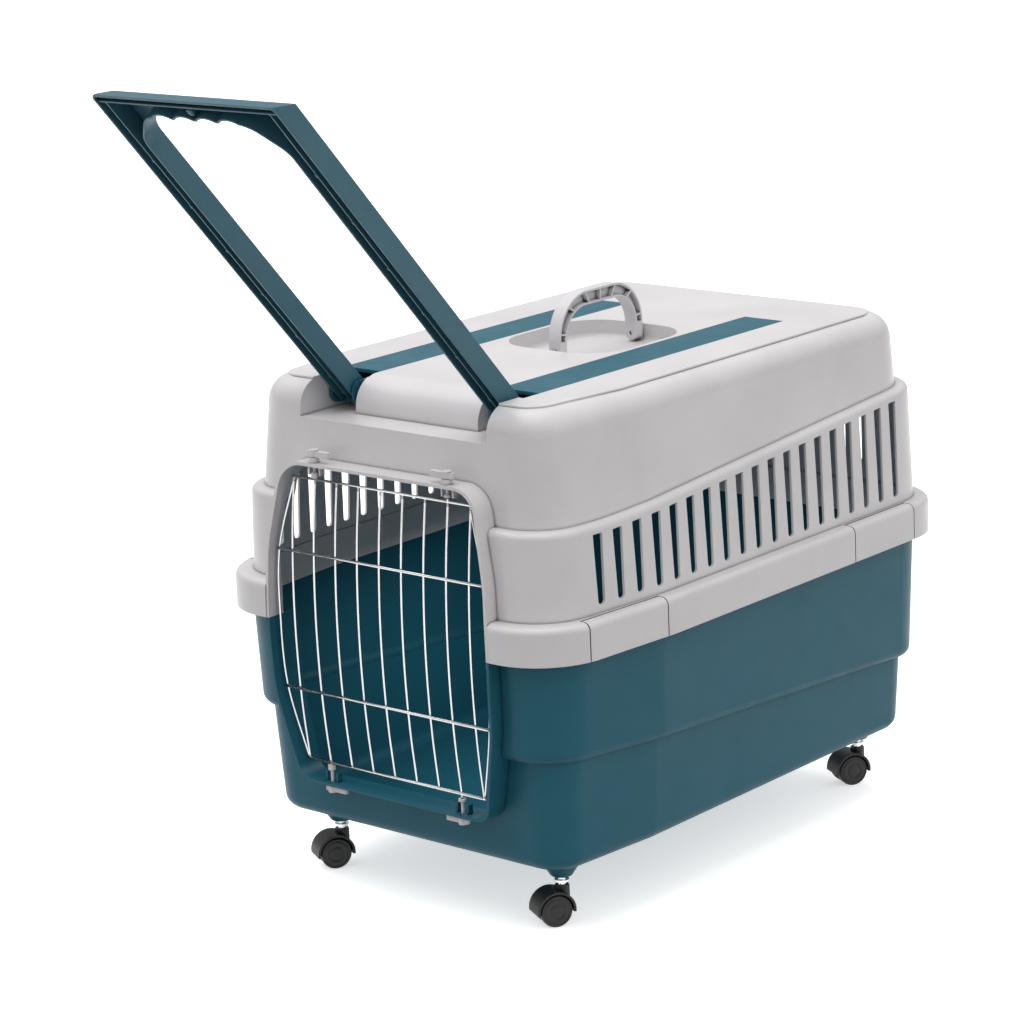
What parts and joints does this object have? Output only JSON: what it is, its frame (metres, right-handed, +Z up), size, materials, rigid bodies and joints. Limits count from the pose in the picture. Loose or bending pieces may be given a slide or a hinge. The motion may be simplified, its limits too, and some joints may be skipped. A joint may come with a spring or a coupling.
{
  "type": "pet transport carrier",
  "caption": "Two-part plastic kennel with a wire door, tilting trolley handle, folding carry handle, rim clips and swivel casters.",
  "frame": {"origin": "on the floor, under the middle of the whole carrier's outline with the trolley handle raised", "axes": "+X to the carrier's right seen from its door end, +Y from the door towards the rear, +Z up"},
  "size_m": [0.578, 1.065, 1.0247],
  "materials": {
    "teal_plastic": "satin, moulded",
    "grey_plastic": "satin, moulded",
    "light_grey_plastic": "satin, moulded",
    "black_plastic": "fine texture",
    "wheel_plastic": "satin",
    "bright_wire": "bright plated",
    "bright_steel": "bright plated",
    "steel": "drawn"
  },
  "bodies": {
    "carrier": {"lower_shell": "teal_plastic", "upper_shell": "grey_plastic", "guide_rail_left": "teal_plastic", "guide_rail_right": "teal_plastic", "handle_pin_left": "steel", "handle_pin_right": "steel", "carry_pin_front": "steel", "carry_pin_rear": "steel", "clip_pin_left_front": "steel", "clip_pin_left_rear": "steel", "clip_pin_right_front": "steel", "clip_pin_right_rear": "steel", "caster_left_front_socket": "black_plastic", "caster_left_rear_socket": "black_plastic", "caster_right_front_socket": "black_plastic", "caster_right_rear_socket": "black_plastic"},
    "trolley_handle": {"trolley_handle": "teal_plastic"},
    "door": {"door_grille": "bright_wire"},
    "carry_handle": {"carry_handle": "light_grey_plastic"},
    "door_pin_top_left": {"door_pin_top_left": "light_grey_plastic"},
    "door_pin_top_right": {"door_pin_top_right": "light_grey_plastic"},
    "door_pin_bottom_left": {"door_pin_bottom_left": "light_grey_plastic"},
    "door_pin_bottom_right": {"door_pin_bottom_right": "light_grey_plastic"},
    "rim_clip_left_front": {"rim_clip_left_front": "grey_plastic"},
    "rim_clip_left_rear": {"rim_clip_left_rear": "grey_plastic"},
    "rim_clip_right_front": {"rim_clip_right_front": "grey_plastic"},
    "rim_clip_right_rear": {"rim_clip_right_rear": "grey_plastic"},
    "caster_left_front_fork": {"caster_left_front_stem": "bright_steel", "caster_left_front_hood": "black_plastic", "caster_left_front_axle": "steel"},
    "caster_left_front_wheel_inner": {"caster_left_front_wheel_inner": "wheel_plastic"},
    "caster_left_front_wheel_outer": {"caster_left_front_wheel_outer": "wheel_plastic"},
    "caster_left_rear_fork": {"caster_left_rear_stem": "bright_steel", "caster_left_rear_hood": "black_plastic", "caster_left_rear_axle": "steel"},
    "caster_left_rear_wheel_inner": {"caster_left_rear_wheel_inner": "wheel_plastic"},
    "caster_left_rear_wheel_outer": {"caster_left_rear_wheel_outer": "wheel_plastic"},
    "caster_right_front_fork": {"caster_right_front_stem": "bright_steel", "caster_right_front_hood": "black_plastic", "caster_right_front_axle": "steel"},
    "caster_right_front_wheel_inner": {"caster_right_front_wheel_inner": "wheel_plastic"},
    "caster_right_front_wheel_outer": {"caster_right_front_wheel_outer": "wheel_plastic"},
    "caster_right_rear_fork": {"caster_right_rear_stem": "bright_steel", "caster_right_rear_hood": "black_plastic", "caster_right_rear_axle": "steel"},
    "caster_right_rear_wheel_inner": {"caster_right_rear_wheel_inner": "wheel_plastic"},
    "caster_right_rear_wheel_outer": {"caster_right_rear_wheel_outer": "wheel_plastic"}
  },
  "joints": [
    {"name": "handle_tilt", "type": "hinge", "parent": "carrier", "child": "trolley_handle", "pos_m": [0, -0.15389, 0.62], "axis": [1, 0, 0], "range_deg": [0, 48.3]},
    {"name": "door_swing", "type": "hinge", "parent": "carrier", "child": "door", "pos_m": [-0.1057, -0.24749, 0.3515], "axis": [0, 0, 1], "range_deg": [-100, 0]},
    {"name": "carry_handle_fold", "type": "hinge", "parent": "carrier", "child": "carry_handle", "pos_m": [0, 0.16401, 0.632], "axis": [0, 1, 0], "range_deg": [-88, 88]},
    {"name": "door_pin_top_left_turn", "type": "hinge", "parent": "carrier", "child": "door_pin_top_left", "pos_m": [-0.1057, -0.24749, 0.56], "axis": [0, 0, 1], "range_deg": [-90, 0]},
    {"name": "door_pin_top_right_turn", "type": "hinge", "parent": "carrier", "child": "door_pin_top_right", "pos_m": [0.1057, -0.24749, 0.56], "axis": [0, 0, 1], "range_deg": [0, 90]},
    {"name": "door_pin_bottom_left_turn", "type": "hinge", "parent": "carrier", "child": "door_pin_bottom_left", "pos_m": [-0.1057, -0.24749, 0.141], "axis": [0, 0, 1], "range_deg": [-90, 0]},
    {"name": "door_pin_bottom_right_turn", "type": "hinge", "parent": "carrier", "child": "door_pin_bottom_right", "pos_m": [0.1057, -0.24749, 0.141], "axis": [0, 0, 1], "range_deg": [0, 90]},
    {"name": "rim_clip_left_front_swing", "type": "hinge", "parent": "carrier", "child": "rim_clip_left_front", "pos_m": [-0.26866, -0.13837, 0.396], "axis": [-0.0802, 0.9968, 0], "range_deg": [0, 90]},
    {"name": "rim_clip_left_rear_swing", "type": "hinge", "parent": "carrier", "child": "rim_clip_left_rear", "pos_m": [-0.275, 0.37351, 0.396], "axis": [0, 1, 0], "range_deg": [0, 90]},
    {"name": "rim_clip_right_front_swing", "type": "hinge", "parent": "carrier", "child": "rim_clip_right_front", "pos_m": [0.26866, -0.13837, 0.396], "axis": [0.0802, 0.9968, 0], "range_deg": [-90, 0]},
    {"name": "rim_clip_right_rear_swing", "type": "hinge", "parent": "carrier", "child": "rim_clip_right_rear", "pos_m": [0.275, 0.37351, 0.396], "axis": [0, 1, 0], "range_deg": [-90, 0]},
    {"name": "caster_left_front_swivel", "type": "hinge", "parent": "carrier", "child": "caster_left_front_fork", "pos_m": [-0.18, -0.15949, 0.05], "axis": [0, 0, 1], "continuous": true},
    {"name": "caster_left_front_wheel_inner_spin", "type": "hinge", "parent": "caster_left_front_fork", "child": "caster_left_front_wheel_inner", "pos_m": [-0.1863, -0.17086, 0.02], "axis": [0.8746, -0.4848, 0], "continuous": true},
    {"name": "caster_left_front_wheel_outer_spin", "type": "hinge", "parent": "caster_left_front_fork", "child": "caster_left_front_wheel_outer", "pos_m": [-0.1863, -0.17086, 0.02], "axis": [0.8746, -0.4848, 0], "continuous": true},
    {"name": "caster_left_rear_swivel", "type": "hinge", "parent": "carrier", "child": "caster_left_rear_fork", "pos_m": [-0.18, 0.45951, 0.05], "axis": [0, 0, 1], "continuous": true},
    {"name": "caster_left_rear_wheel_inner_spin", "type": "hinge", "parent": "caster_left_rear_fork", "child": "caster_left_rear_wheel_inner", "pos_m": [-0.1863, 0.44814, 0.02], "axis": [0.8746, -0.4848, 0], "continuous": true},
    {"name": "caster_left_rear_wheel_outer_spin", "type": "hinge", "parent": "caster_left_rear_fork", "child": "caster_left_rear_wheel_outer", "pos_m": [-0.1863, 0.44814, 0.02], "axis": [0.8746, -0.4848, 0], "continuous": true},
    {"name": "caster_right_front_swivel", "type": "hinge", "parent": "carrier", "child": "caster_right_front_fork", "pos_m": [0.18, -0.15949, 0.05], "axis": [0, 0, 1], "continuous": true},
    {"name": "caster_right_front_wheel_inner_spin", "type": "hinge", "parent": "caster_right_front_fork", "child": "caster_right_front_wheel_inner", "pos_m": [0.1737, -0.17086, 0.02], "axis": [0.8746, -0.4848, 0], "continuous": true},
    {"name": "caster_right_front_wheel_outer_spin", "type": "hinge", "parent": "caster_right_front_fork", "child": "caster_right_front_wheel_outer", "pos_m": [0.1737, -0.17086, 0.02], "axis": [0.8746, -0.4848, 0], "continuous": true},
    {"name": "caster_right_rear_swivel", "type": "hinge", "parent": "carrier", "child": "caster_right_rear_fork", "pos_m": [0.18, 0.45951, 0.05], "axis": [0, 0, 1], "continuous": true},
    {"name": "caster_right_rear_wheel_inner_spin", "type": "hinge", "parent": "caster_right_rear_fork", "child": "caster_right_rear_wheel_inner", "pos_m": [0.1737, 0.44814, 0.02], "axis": [0.8746, -0.4848, 0], "continuous": true},
    {"name": "caster_right_rear_wheel_outer_spin", "type": "hinge", "parent": "caster_right_rear_fork", "child": "caster_right_rear_wheel_outer", "pos_m": [0.1737, 0.44814, 0.02], "axis": [0.8746, -0.4848, 0], "continuous": true}
  ]
}
